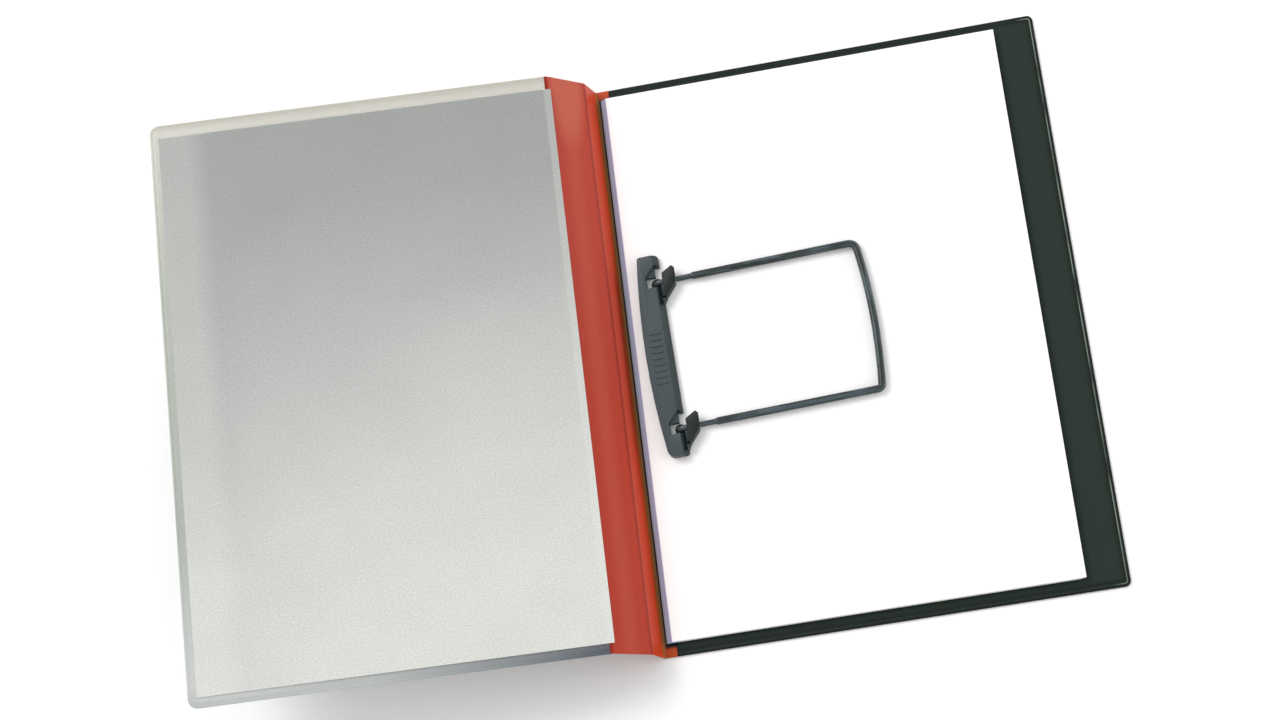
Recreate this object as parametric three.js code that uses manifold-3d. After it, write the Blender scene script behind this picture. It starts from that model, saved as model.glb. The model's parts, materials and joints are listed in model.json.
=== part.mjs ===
// Clip folder, A4, lying open on a table: a dark back cover, a red creased spine strip, a clear front
// cover with a matt lining, a stack of punched sheets, and a plastic hoop clip that holds the sheets.
//
// Millimetres, +Z up. The origin is the middle of the back cover's underside. +X points from the spine
// to the back cover's free edge, +Y to the top of the folder.
import * as THREE from 'three';
import * as BufferGeometryUtils from 'three/addons/utils/BufferGeometryUtils.js';
import Module from 'manifold-3d';

const wasm = await Module();
wasm.setup();

// Driving dimensions: the folder
const folderHeight = 310;
const backWidth = 237;
const backThickness = 1.4;
const backCornerRadius = 3;
const seatClearance = 0.3;

// Weld at the spine: the strip's margin lies in a rebate of the back cover
const weldWidth = 7;
const weldPlyThickness = 0.4;

// Weld line around the back cover: a shallow pressed groove
const weldLineInset = 2;
const weldLineWidth = 1.2;
const weldLineDepth = 0.3;

// Spine strip: one creased strip, cut at its two creases so that each panel can turn
const stripThickness = 0.6;
const spineWidth = 16.3;
const bandWidth = 25;
const creaseHalfGap = 0.35;

// Front cover
const coverWidth = 210.5;
const coverThickness = 0.5;
const coverCornerRadius = 5;
const liningWidth = 207.5;
const liningHeight = 297;
const liningThickness = 0.4;
const liningOverBand = 1.6;
const liningBottomMargin = 5.3;

// Angle of each panel above the table, in degrees, as the folder lies
const spineAngle = 79;
const bandAngle = 48;
const coverAngle = 7.4;

// Sheets
const sheetWidth = 210;
const sheetHeight = 297;
const stackThickness = 3;
const stackFan = 3.2;
const stackFromFold = 2.4;
const stackBottomMargin = 7.2;
const punchDiameter = 6;

// Clip: places
const holeSpacing = 80;
const clipFromFold = 22.1;
const clipLean = 2;

// Clip base, under the sheets
const baseWidth = 12;
const baseLength = 104;
const baseThickness = 0.8;
const socketDiameter = 5;
const socketFloor = 0.4;
const runningClearance = 0.3;

// Clip hoop
const tubeDiameter = 3.9;
const neckDiameter = 2.9;
const neckEnd = 19;
const hoopReach = 106.6;
const hoopAbovePaper = 0.6;
const hoopBow = 2.1;
const hoopOuterCorner = 5;
const hoopInnerCorner = 3;
const bendRadius = 2.4;

// Clip bar
const barThickness = 5.2;
const barEndReach = 14.6;
const barRight = 2.9;
const barLeftAtEnds = 8;
const barLeftAtMiddle = 11.2;
const barBevelWidth = 3.1;
const barBevelDepth = 3;
const barTopCorner = 1.6;
const barBottomCorner = 4.5;
const barHoleLeft = 5.1;
const barHoleRight = 2.3;
const barHoleHalfHeight = 3.1;
const rampLength = 6.2;
const rampShift = 5.4;
const rampDepth = 2.2;
const ribCount = 9;
const ribPitch = 3.4;
const ribLength = 6;
const ribWidth = 1.1;
const ribHeight = 0.4;
const ribCentreX = -4.6;
const ribCentreY = -1.5;

// Claws: one beside each hole, rooted on the bar below the leg and reaching over it
const clawGap = 0.9;
const clawWidth = 7;
const clawRootEnd = 12.5;
const clawRootStart = 2.4;
const clawShoulder = 8.9;
const clawHeel = 2.7;
const clawTip = 7.2;
const clawTipSlope = 3.3;
const clawTipFlat = 1.3;
const clawEndClearance = 0.5;
const dimpleLength = 3;
const dimpleWidth = 1.2;
const dimpleDepth = 2.6;
const dimpleDrop = 8.6;

// Heights and places that follow from the sizes above
const foldX = -backWidth / 2;
const weldBottom = weldPlyThickness + seatClearance;
const foldHeight = weldBottom + stripThickness / 2;
const stackBottom = backThickness + seatClearance;
const stackTop = stackBottom + stackThickness;
const stackCentreY = -folderHeight / 2 + stackBottomMargin + sheetHeight / 2;
const tubeRadius = tubeDiameter / 2;
const neckRadius = neckDiameter / 2;
const legHeight = stackTop + hoopAbovePaper + tubeRadius;
const barBottom = stackTop + seatClearance;
const barTop = barBottom + barThickness;
const clawInner = barRight + clawGap;
const clawOuter = clawInner + clawWidth;
const neckStart = clawOuter + clawEndClearance;
const channelHalfWidth = neckRadius + runningClearance;
const socketTop = stackTop;
const socketBore = neckRadius + runningClearance;
const leanAngle = THREE.MathUtils.degToRad(clipLean);
const smallStep = 0.1;
const overcut = 1; // how far a cutter runs past what it cuts

// Materials: colour, roughness, metalness
const finish = (color, roughness, extra = {}) =>
  new THREE.MeshStandardMaterial({ color, roughness, metalness: 0, ...extra });
const darkVinyl = finish(0x303a34, 0.45);
const redVinyl = finish(0xb44832, 0.4);
const clearVinyl = finish(0xdedcd0, 0.25, { transparent: true, opacity: 0.5 });
const mattLining = finish(0xc4c6c2, 0.7);
const whitePaper = finish(0xfafafa, 0.9);
const greyPlastic = finish(0x555f62, 0.5);
const darkPlastic = finish(0x2a3a3a, 0.4);

// Booleans: a closed three.js geometry becomes a solid and comes back as a geometry
function toSolid(geometry) {
  const bare = geometry.clone();
  bare.deleteAttribute('normal');
  bare.deleteAttribute('uv');
  const merged = BufferGeometryUtils.mergeVertices(bare, 1e-4);
  return new wasm.Manifold(new wasm.Mesh({
    numProp: 3,
    vertProperties: new Float32Array(merged.attributes.position.array),
    triVerts: new Uint32Array(merged.index.array),
  }));
}

function toGeometry(solid) {
  const mesh = solid.getMesh();
  const geometry = new THREE.BufferGeometry();
  geometry.setAttribute('position', new THREE.BufferAttribute(mesh.vertProperties, 3));
  geometry.setIndex(new THREE.BufferAttribute(mesh.triVerts, 1));
  geometry.computeVertexNormals();
  return geometry;
}

function part(name, geometry, material) {
  const mesh = new THREE.Mesh(geometry, material);
  mesh.name = name;
  return mesh;
}

// A box between two corners
function block(x0, y0, z0, x1, y1, z1) {
  const geometry = new THREE.BoxGeometry(x1 - x0, y1 - y0, z1 - z0);
  return geometry.translate((x0 + x1) / 2, (y0 + y1) / 2, (z0 + z1) / 2);
}

// An outline in X and Y, raised from z0 to z1
function slab(shape, z0, z1) {
  const settings = { depth: z1 - z0, bevelEnabled: false, curveSegments: 8 };
  const geometry = new THREE.ExtrudeGeometry(shape, settings);
  return geometry.translate(0, 0, z0);
}

// A section in X and Z, carried along Y from y0 to y1
function prismAlongY(points, y0, y1) {
  const shape = new THREE.Shape(points.map(([x, z]) => new THREE.Vector2(x, z)));
  const geometry = new THREE.ExtrudeGeometry(shape, { depth: y1 - y0, bevelEnabled: false });
  return geometry.rotateX(Math.PI / 2).translate(0, y1, 0);
}

// A rectangle with its own radius at each corner
function roundedRectangle(x0, y0, x1, y1, { leftTop = 0, rightTop = 0, rightBottom = 0, leftBottom = 0 }) {
  const shape = new THREE.Shape();
  shape.moveTo(x0 + leftBottom, y0);
  shape.lineTo(x1 - rightBottom, y0);
  if (rightBottom > 0) shape.absarc(x1 - rightBottom, y0 + rightBottom, rightBottom, -Math.PI / 2, 0);
  shape.lineTo(x1, y1 - rightTop);
  if (rightTop > 0) shape.absarc(x1 - rightTop, y1 - rightTop, rightTop, 0, Math.PI / 2);
  shape.lineTo(x0 + leftTop, y1);
  if (leftTop > 0) shape.absarc(x0 + leftTop, y1 - leftTop, leftTop, Math.PI / 2, Math.PI);
  shape.lineTo(x0, y0 + leftBottom);
  if (leftBottom > 0) shape.absarc(x0 + leftBottom, y0 + leftBottom, leftBottom, Math.PI, 1.5 * Math.PI);
  return shape;
}

// An upright round bar or hole
function uprightCylinder(radius, x, y, z0, z1) {
  const geometry = new THREE.CylinderGeometry(radius, radius, z1 - z0, 24);
  return geometry.rotateX(Math.PI / 2).translate(x, y, (z0 + z1) / 2);
}

// A round rod along a path
function rod(path, radius, steps) {
  const section = new THREE.Shape();
  section.absarc(0, 0, radius, 0, 2 * Math.PI);
  const settings = { steps, curveSegments: 6, bevelEnabled: false, extrudePath: path };
  return new THREE.ExtrudeGeometry(section, settings);
}

// Back cover: a welded dark board with a rebate for the spine strip and a pressed weld line
function backCover() {
  const halfHeight = folderHeight / 2;
  const right = backWidth / 2;
  const corners = { rightTop: backCornerRadius, rightBottom: backCornerRadius };
  const outline = roundedRectangle(foldX, -halfHeight, right, halfHeight, corners);
  const board = toSolid(slab(outline, 0, backThickness));
  const rebateEnd = foldX + weldWidth + seatClearance;
  const rebate = toSolid(block(foldX - overcut, -halfHeight - overcut, weldPlyThickness,
    rebateEnd, halfHeight + overcut, backThickness + overcut));
  const outer = weldLineInset;
  const inner = weldLineInset + weldLineWidth;
  const lineCorner = Math.max(backCornerRadius - weldLineInset, smallStep);
  const line = roundedRectangle(rebateEnd + outer, -halfHeight + outer, right - outer, halfHeight - outer,
    { rightTop: lineCorner, rightBottom: lineCorner });
  line.holes.push(
    roundedRectangle(rebateEnd + inner, -halfHeight + inner, right - inner, halfHeight - inner, {}));
  const groove = toSolid(slab(line, backThickness - weldLineDepth, backThickness + overcut));
  return part('back_cover', toGeometry(board.subtract(rebate).subtract(groove)), darkVinyl);
}

// Margin of the red strip, welded into the back cover's rebate
function spineStripMargin() {
  const geometry = block(foldX + creaseHalfGap, -folderHeight / 2, weldBottom,
    foldX + weldWidth, folderHeight / 2, weldBottom + stripThickness);
  return part('spine_strip_margin', geometry, redVinyl);
}

// A flat panel that starts at a crease on the Y axis and runs towards -X
function creasedPanel(name, width, farGap, thickness, material) {
  const geometry = block(-width + farGap, -folderHeight / 2, -thickness / 2,
    -creaseHalfGap, folderHeight / 2, thickness / 2);
  return part(name, geometry, material);
}

function frontCoverFilm() {
  const corners = { leftTop: coverCornerRadius, leftBottom: coverCornerRadius };
  const outline = roundedRectangle(-coverWidth, -folderHeight / 2, -creaseHalfGap, folderHeight / 2, corners);
  return part('front_cover_film', slab(outline, -coverThickness / 2, coverThickness / 2), clearVinyl);
}

// Matt lining on the inside of the clear cover, reaching a little over the red band
function frontCoverLining() {
  const bottom = -folderHeight / 2 + liningBottomMargin;
  const z0 = coverThickness / 2 + seatClearance;
  const geometry = block(liningOverBand - liningWidth, bottom, z0,
    liningOverBand, bottom + liningHeight, z0 + liningThickness);
  return part('front_cover_lining', geometry, mattLining);
}

// Sheets: a fanned stack, punched for the sockets, bedded over the clip's base strip
function sheetStack() {
  const left = foldX + stackFromFold;
  const section = [
    [left, stackBottom],
    [left + sheetWidth, stackBottom],
    [left + sheetWidth + stackFan, stackTop],
    [left + stackFan, stackTop],
  ];
  let stack = toSolid(prismAlongY(section, stackCentreY - sheetHeight / 2, stackCentreY + sheetHeight / 2));
  stack = stack.subtract(placedWithClip(block(
    -baseWidth / 2 - seatClearance, -baseLength / 2 - seatClearance, stackBottom - overcut,
    baseWidth / 2 + seatClearance, baseLength / 2 + seatClearance,
    stackBottom + baseThickness + seatClearance)));
  for (const side of [-1, 1]) {
    const y = side * holeSpacing / 2;
    stack = stack.subtract(placedWithClip(
      uprightCylinder(punchDiameter / 2, 0, y, stackBottom - overcut, stackTop + overcut)));
  }
  return part('sheet_stack', toGeometry(stack), whitePaper);
}

// Moves a cutter from the clip's own frame to the folder's
function placedWithClip(geometry) {
  const turned = geometry.clone().rotateZ(leanAngle);
  return toSolid(turned.translate(foldX + clipFromFold, stackCentreY, 0));
}

// Clip base: a strip with two sockets that stand up through the punched holes
function clipBase() {
  let base = toSolid(block(-baseWidth / 2, -baseLength / 2, stackBottom,
    baseWidth / 2, baseLength / 2, stackBottom + baseThickness));
  for (const side of [-1, 1]) {
    const y = side * holeSpacing / 2;
    base = base.add(toSolid(uprightCylinder(socketDiameter / 2, 0, y, stackBottom, socketTop)));
    base = base.subtract(toSolid(
      uprightCylinder(socketBore, 0, y, stackBottom + socketFloor, socketTop + overcut)));
  }
  return part('clip_base', toGeometry(base), darkPlastic);
}

// A point on a leg of the hoop: side is +1 or -1, distance is counted from the hole
function legPoint(side, distance) {
  return new THREE.Vector3(distance * Math.cos(leanAngle),
    side * holeSpacing / 2 - distance * Math.sin(leanAngle), legHeight);
}

// Hoop: two tube legs and a bowed crosspiece in one, with a thin neck at each leg's foot
function clipHoop() {
  const path = new THREE.CurvePath();
  const startTop = legPoint(1, neckEnd);
  const startBottom = legPoint(-1, neckEnd);
  const cornerTop = legPoint(1, hoopReach);
  const cornerBottom = legPoint(-1, hoopReach);
  const along = cornerBottom.clone().sub(cornerTop).normalize();
  const bowPoint = cornerTop.clone().add(cornerBottom).multiplyScalar(0.5);
  bowPoint.x += 2 * hoopBow;
  const beforeTop = legPoint(1, hoopReach - hoopOuterCorner);
  const afterTop = cornerTop.clone().addScaledVector(along, hoopOuterCorner);
  const beforeBottom = cornerBottom.clone().addScaledVector(along, -hoopInnerCorner);
  const afterBottom = legPoint(-1, hoopReach - hoopInnerCorner);
  path.add(new THREE.LineCurve3(startTop, beforeTop));
  path.add(new THREE.QuadraticBezierCurve3(beforeTop, cornerTop, afterTop));
  path.add(new THREE.QuadraticBezierCurve3(afterTop, bowPoint, beforeBottom));
  path.add(new THREE.QuadraticBezierCurve3(beforeBottom, cornerBottom, afterBottom));
  path.add(new THREE.LineCurve3(afterBottom, startBottom));
  let hoop = toSolid(rod(path, tubeRadius, 130));
  for (const side of [-1, 1]) {
    const neck = new THREE.LineCurve3(legPoint(side, neckStart), legPoint(side, neckEnd + tubeRadius));
    hoop = hoop.add(toSolid(rod(neck, neckRadius, 1)));
  }
  return part('clip_hoop', toGeometry(hoop), darkPlastic);
}

// Flexible foot of a leg: up out of the socket and round under the claw
function hoopBend(name, side) {
  const foot = legPoint(side, 0);
  const low = new THREE.Vector3(foot.x, foot.y, stackBottom + socketFloor + runningClearance);
  const belowTurn = new THREE.Vector3(foot.x, foot.y, legHeight - bendRadius);
  const path = new THREE.CurvePath();
  path.add(new THREE.LineCurve3(low, belowTurn));
  path.add(new THREE.QuadraticBezierCurve3(belowTurn, foot, legPoint(side, bendRadius)));
  path.add(new THREE.LineCurve3(legPoint(side, bendRadius), legPoint(side, neckStart - seatClearance)));
  return part(name, rod(path, neckRadius, 26), darkPlastic);
}

// Outline of the bar, seen from above: straight on the right, bowed on the left
function barOutline() {
  const end = holeSpacing / 2 + barEndReach;
  const shape = new THREE.Shape();
  shape.moveTo(barRight - barTopCorner, end);
  shape.lineTo(-barLeftAtEnds + barTopCorner, end);
  shape.quadraticCurveTo(-barLeftAtEnds, end, -barLeftAtEnds, end - barTopCorner);
  shape.quadraticCurveTo(barLeftAtEnds - 2 * barLeftAtMiddle, 0, -barLeftAtEnds, -end + barBottomCorner);
  shape.quadraticCurveTo(-barLeftAtEnds, -end, -barLeftAtEnds + barBottomCorner, -end);
  shape.lineTo(barRight - barTopCorner, -end);
  shape.quadraticCurveTo(barRight, -end, barRight, -end + barTopCorner);
  shape.lineTo(barRight, end - barTopCorner);
  shape.quadraticCurveTo(barRight, end, barRight - barTopCorner, end);
  return shape;
}

// Outline of one claw, with its hole at the origin
function clawOutline() {
  const root = barRight - 2 * smallStep;
  return new THREE.Shape([
    [root, -clawRootEnd],
    [clawInner + clawGap, -clawShoulder],
    [clawOuter - clawGap, -clawHeel],
    [clawOuter, channelHalfWidth],
    [clawOuter, clawTip - clawTipFlat],
    [clawOuter - clawTipFlat, clawTip],
    [clawInner, clawTip - clawTipSlope],
    [clawInner, -clawRootStart],
    [root, -clawRootStart],
  ].map(([x, y]) => new THREE.Vector2(x, y)));
}

// What is cut away around one hole: the hole, the ramp, the leg's channel and a dimple at the claw's root
function barCuts(y) {
  const ramp = new THREE.Shape([
    [-barHoleLeft, barHoleHalfHeight - smallStep],
    [-barHoleLeft, barHoleHalfHeight + smallStep],
    [-barHoleLeft + rampShift, barHoleHalfHeight + rampLength],
    [barRight + overcut, barHoleHalfHeight + rampLength],
    [barRight + overcut, barHoleHalfHeight - smallStep],
  ].map(([x, v]) => new THREE.Vector2(x, v)));
  const roof = legHeight + neckRadius + runningClearance;
  return [
    block(-barHoleLeft, -barHoleHalfHeight, barBottom - overcut,
      barHoleRight, barHoleHalfHeight, barTop + overcut),
    slab(ramp, barTop - rampDepth, barTop + overcut),
    block(0, -channelHalfWidth, barBottom - overcut, clawInner, channelHalfWidth, barTop + overcut),
    block(0, -channelHalfWidth, barBottom - overcut,
      clawOuter + overcut, clawTip + overcut, roof),
    block(barRight - dimpleLength / 2, -dimpleDrop - dimpleWidth, barTop - dimpleDepth,
      barRight + dimpleLength / 2, -dimpleDrop, barTop + overcut),
  ].map((geometry) => toSolid(geometry.translate(0, y, 0)));
}

// Pressing bar: bevelled on the right, with two holes, two claws and plain grip ribs
function clipBar() {
  const end = holeSpacing / 2 + barEndReach;
  let bar = toSolid(slab(barOutline(), barBottom, barTop));
  const bevel = [
    [barRight - barBevelWidth, barTop],
    [barRight, barTop - barBevelDepth],
    [barRight + overcut, barTop - barBevelDepth],
    [barRight + overcut, barTop + overcut],
    [barRight - barBevelWidth, barTop + overcut],
  ];
  bar = bar.subtract(toSolid(prismAlongY(bevel, -end - overcut, end + overcut)));
  for (const side of [-1, 1]) {
    const y = side * holeSpacing / 2;
    bar = bar.add(toSolid(slab(clawOutline(), barBottom, barTop).translate(0, y, 0)));
  }
  for (const side of [-1, 1]) {
    for (const cut of barCuts(side * holeSpacing / 2)) bar = bar.subtract(cut);
  }
  for (let i = 0; i < ribCount; i += 1) {
    const y = ribCentreY + (i - (ribCount - 1) / 2) * ribPitch;
    bar = bar.add(toSolid(block(ribCentreX - ribLength / 2, y - ribWidth / 2, barTop - smallStep,
      ribCentreX + ribLength / 2, y + ribWidth / 2, barTop + ribHeight)));
  }
  return part('clip_bar', toGeometry(bar), greyPlastic);
}

// A group that turns about a crease and carries the panels beyond it
function crease(x, z, degrees) {
  const turned = new THREE.Group();
  turned.position.set(x, 0, z);
  turned.rotation.y = THREE.MathUtils.degToRad(degrees);
  return turned;
}

const folder = new THREE.Group();
folder.add(backCover(), spineStripMargin(), sheetStack());

const spine = crease(foldX, foldHeight, spineAngle);
const band = crease(-spineWidth, 0, bandAngle - spineAngle);
const frontCover = crease(-bandWidth, 0, coverAngle - bandAngle);
spine.add(creasedPanel('spine_strip_back', spineWidth, creaseHalfGap, stripThickness, redVinyl), band);
band.add(creasedPanel('spine_strip_band', bandWidth, creaseHalfGap, stripThickness, redVinyl), frontCover);
frontCover.add(frontCoverFilm(), frontCoverLining());
folder.add(spine);

const clip = new THREE.Group();
clip.position.set(foldX + clipFromFold, stackCentreY, 0);
clip.rotation.z = leanAngle;
clip.add(clipBase(), clipBar(), clipHoop(), hoopBend('hoop_bend_upper', 1), hoopBend('hoop_bend_lower', -1));
folder.add(clip);

export default folder;
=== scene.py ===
# %% [markdown]
# # A clip folder, dressed
# The solids of the folder come in as a fixed frame. Each cell below adds one surface of the real thing:
# welded vinyl covers, a creased strip, a clear front cover with its lining, the edges of the sheets and
# the moulded clip. Everything is in metres, in the frame of the solids.

# %% Load the frame
import json
import math
import bmesh
import bpy
import numpy as np
from mathutils import Matrix, Vector


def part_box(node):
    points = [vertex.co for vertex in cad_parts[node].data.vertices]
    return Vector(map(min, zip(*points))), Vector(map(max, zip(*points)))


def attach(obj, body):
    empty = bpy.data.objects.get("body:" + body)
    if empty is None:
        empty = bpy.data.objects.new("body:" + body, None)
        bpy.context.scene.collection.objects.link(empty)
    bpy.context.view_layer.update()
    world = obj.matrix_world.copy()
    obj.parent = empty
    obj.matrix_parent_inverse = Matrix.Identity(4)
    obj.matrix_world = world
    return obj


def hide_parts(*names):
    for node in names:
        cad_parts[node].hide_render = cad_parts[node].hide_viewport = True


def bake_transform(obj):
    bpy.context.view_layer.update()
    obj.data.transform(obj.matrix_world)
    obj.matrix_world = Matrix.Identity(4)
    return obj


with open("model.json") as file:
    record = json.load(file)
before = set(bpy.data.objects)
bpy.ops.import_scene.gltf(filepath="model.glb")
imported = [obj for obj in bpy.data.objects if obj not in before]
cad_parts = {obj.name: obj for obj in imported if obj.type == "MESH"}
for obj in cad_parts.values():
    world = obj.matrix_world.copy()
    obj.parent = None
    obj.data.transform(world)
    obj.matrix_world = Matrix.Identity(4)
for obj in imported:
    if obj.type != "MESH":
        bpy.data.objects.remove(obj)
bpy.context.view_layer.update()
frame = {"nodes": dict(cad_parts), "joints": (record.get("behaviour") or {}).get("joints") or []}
print("nodes:", sorted(frame["nodes"]))

# %% [markdown]
# ## Sizes that the pieces share
# The creases of the folder are the axes of its joints, so their places are read from the frame. A panel
# then runs from one crease to the next, and whatever is built on it follows it.

# %% Read the creases and the boxes
MM = 0.001
joints = {joint["name"]: joint for joint in frame["joints"]}
fold = np.array(joints["spine_fold"]["pos_m"])
crease = np.array(joints["band_crease"]["pos_m"])
ridge = np.array(joints["cover_crease"]["pos_m"])
foot = np.array(joints["hoop_swing"]["pos_m"])
clip_up = np.array(joints["hoop_swing"]["axis"])
clip_right = np.array([clip_up[1], -clip_up[0], 0.0])
back_high = np.array(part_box("back_cover")[1])
film_low, film_high = (np.array(corner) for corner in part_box("front_cover_film"))
lining_low, lining_high = (np.array(corner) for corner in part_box("front_cover_lining"))
stack_low, stack_high = (np.array(corner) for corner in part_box("sheet_stack"))
half_height = back_high[1]
print("spine", np.linalg.norm(crease - fold), "band", np.linalg.norm(ridge - crease))

# %% [markdown]
# ## Turning arrays into meshes
# A surface here is a grid of points worked out at once with numpy. A closed shell is two such grids, an
# upper and a lower one, joined round their border. These helpers hold the only mesh code of the scene.

# %% Mesh helpers
def grid_quads(rows, columns, first=0):
    """Quads of a grid of rows by columns points: corner (r, c), its neighbour along the row, and the two
    points of the next row, counted so that the face looks along row x column."""
    index = first + np.arange(rows * columns).reshape(rows, columns)
    return np.stack([index[:-1, :-1], index[1:, :-1], index[1:, 1:], index[:-1, 1:]], -1).reshape(-1, 4)


def make_piece(name, points, faces, material, flat=None, smooth=True):
    """An object at the origin with its place in its mesh. flat gives each point its place on the flat
    material, in metres, and is kept as the UV map that the finish reads."""
    mesh = bpy.data.meshes.new(name)
    mesh.from_pydata(points.reshape(-1, 3).tolist(), [], faces.tolist())
    mesh.polygons.foreach_set("use_smooth", [smooth] * len(mesh.polygons))
    if flat is not None:
        layer = mesh.uv_layers.new(name="flat")
        corner = np.zeros(len(mesh.loops), np.int32)
        mesh.loops.foreach_get("vertex_index", corner)
        layer.data.foreach_set("uv", flat.reshape(-1, 2)[corner].astype(np.float32).ravel())
    mesh.materials.append(material)
    mesh.validate()
    if smooth:
        mesh.set_sharp_from_angle(angle=math.radians(38))
    piece = bpy.data.objects.new(name, mesh)
    bpy.context.scene.collection.objects.link(piece)
    print(name, len(mesh.vertices), "points,", len(mesh.polygons), "faces")
    return piece


def border(rows, columns):
    """Indices of a grid's border, once round: first row, last column, last row back, first column back."""
    index = np.arange(rows * columns).reshape(rows, columns)
    return np.concatenate([index[0, :-1], index[:-1, -1], index[-1, :0:-1], index[:0:-1, 0]])


def closed_shell(name, upper, lower, material, flat=None):
    """Upper and lower are grids of the same shape; the rows run so that row x column points out of the
    upper one. The shell is both grids and a wall of quads round their border."""
    rows, columns = upper.shape[:2]
    count = rows * columns
    top = grid_quads(rows, columns)
    bottom = grid_quads(rows, columns, count)[:, ::-1]
    ring = border(rows, columns)
    after = np.roll(ring, -1)
    wall = np.stack([ring, after, after + count, ring + count], -1)
    both = np.concatenate([upper.reshape(-1, 3), lower.reshape(-1, 3)])
    both_flat = None if flat is None else np.concatenate([flat.reshape(-1, 2)] * 2)
    return make_piece(name, both, np.concatenate([top, bottom, wall]), material, both_flat)


def tube(name, path, radius, material, sides=28):
    """Points of a circle of the given radius, carried along the path: at each path point, the circle
    stands square to the path's direction, and the two ends are closed by a point in the middle."""
    along = np.gradient(path, axis=0)
    along /= np.linalg.norm(along, axis=1, keepdims=True)
    side = np.cross(along, [0.0, 1e-4, 1.0])
    upright = np.linalg.norm(side, axis=1) < 0.05
    side[upright] = -clip_up
    side /= np.linalg.norm(side, axis=1, keepdims=True)
    other = np.cross(side, along)
    turn = np.linspace(0, 2 * np.pi, sides, endpoint=False)[None, :, None]
    spoke = np.cos(turn) * side[:, None] + np.sin(turn) * other[:, None]
    rim = path[:, None] + radius[:, None, None] * spoke
    count = len(path)
    index = np.arange(count * sides).reshape(count, sides)
    ahead = np.roll(index, -1, axis=1)
    walls = np.stack([index[:-1], index[1:], ahead[1:], ahead[:-1]], -1).reshape(-1, 4)
    points = np.concatenate([rim.reshape(-1, 3), path[:1], path[-1:]])
    first_cap = [[count * sides, index[0, k], ahead[0, k]] for k in range(sides)]
    last_cap = [[count * sides + 1, ahead[-1, k], index[-1, k]] for k in range(sides)]
    faces = np.array(walls.tolist() + first_cap + last_cap, dtype=object)
    distance = np.concatenate([[0], np.cumsum(np.linalg.norm(np.diff(path, axis=0), axis=1))])
    around = np.broadcast_to(turn[0, :, 0] * radius.mean(), (count, sides))
    flat = np.stack([np.broadcast_to(distance[:, None], (count, sides)), around], -1).reshape(-1, 2)
    flat = np.concatenate([flat, flat[:1], flat[-1:]])
    return make_piece(name, points, faces, material, flat)


def smooth_step(x, low, high):
    """0 below low, 1 above high, and a soft S between them."""
    t = np.clip((x - low) / (high - low), 0, 1)
    return t * t * (3 - 2 * t)

# %% [markdown]
# ## Shader helpers and shared effects
# The folder is vinyl, film, paper and moulded plastic, and each has a fine grain and a slightly uneven
# tone. Those two effects are node groups, made once and used by every finish with its own values.

# %% Node helpers
def colour(red, green, blue):
    """A colour as seen on a screen, 0 to 255, as the linear values that a shader mixes."""
    seen = np.array([red, green, blue]) / 255
    linear = np.where(seen <= 0.04045, seen / 12.92, ((seen + 0.055) / 1.055) ** 2.4)
    return (*linear.tolist(), 1.0)


def add(tree, kind, inputs=None, **settings):
    """A node with its settings, and its inputs given as values or as sockets to link from."""
    node = tree.nodes.new(kind)
    for name, value in settings.items():
        setattr(node, name, value)
    for key, value in (inputs or {}).items():
        if isinstance(value, bpy.types.NodeSocket):
            tree.links.new(value, node.inputs[key])
        else:
            node.inputs[key].default_value = value
    return node


def new_group(name, inputs, outputs):
    """A shader node group with named inputs and outputs."""
    tree = bpy.data.node_groups.new(name, "ShaderNodeTree")
    for label, kind in inputs:
        tree.interface.new_socket(label, in_out="INPUT", socket_type=kind)
    for label, kind in outputs:
        tree.interface.new_socket(label, in_out="OUTPUT", socket_type=kind)
    return tree, tree.nodes.new("NodeGroupInput"), tree.nodes.new("NodeGroupOutput")

# %% Group: grain
VECTOR, NUMBER, SHADE = "NodeSocketVector", "NodeSocketFloat", "NodeSocketColor"
grain, given, out = new_group("grain", [("Place", VECTOR), ("Scale", NUMBER)], [("Height", NUMBER)])
place, scale = given.outputs["Place"], given.outputs["Scale"]
pebbles = add(grain, "ShaderNodeTexVoronoi", {"Vector": place, "Scale": scale}).outputs["Distance"]
dust = add(grain, "ShaderNodeTexNoise", {"Vector": place, "Scale": scale, "Detail": 3.0}).outputs["Fac"]
mixed = add(grain, "ShaderNodeMath", {0: pebbles, 1: dust}, operation="ADD")
grain.links.new(mixed.outputs[0], out.inputs["Height"])
print("group", grain.name)

# %% Group: uneven tone
tone, given, out = new_group(
    "uneven_tone",
    [("Place", VECTOR), ("Colour", SHADE), ("Scale", NUMBER), ("Amount", NUMBER), ("Roughness", NUMBER)],
    [("Colour", SHADE), ("Roughness", NUMBER)])
place, scale, amount = given.outputs["Place"], given.outputs["Scale"], given.outputs["Amount"]
clouds = add(tone, "ShaderNodeTexNoise", {"Vector": place, "Scale": scale, "Detail": 5.0}).outputs["Fac"]
specks = add(tone, "ShaderNodeTexNoise", {"Vector": place, "Scale": 900.0, "Detail": 2.0}).outputs["Fac"]
both = add(tone, "ShaderNodeMath", {0: specks, 1: 0.5, 2: clouds}, operation="MULTIPLY_ADD")
centred = add(tone, "ShaderNodeMath", {0: both.outputs[0], 1: 0.75}, operation="SUBTRACT").outputs[0]
factor = add(tone, "ShaderNodeMath", {0: centred, 1: amount, 2: 1.0}, operation="MULTIPLY_ADD").outputs[0]
shaded = add(tone, "ShaderNodeVectorMath", {0: given.outputs["Colour"], "Scale": factor}, operation="SCALE")
duller = add(tone, "ShaderNodeMath", {0: centred, 1: 0.25, 2: given.outputs["Roughness"]},
             operation="MULTIPLY_ADD")
tone.links.new(shaded.outputs[0], out.inputs["Colour"])
tone.links.new(duller.outputs[0], out.inputs["Roughness"])
print("group", tone.name)

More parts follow.
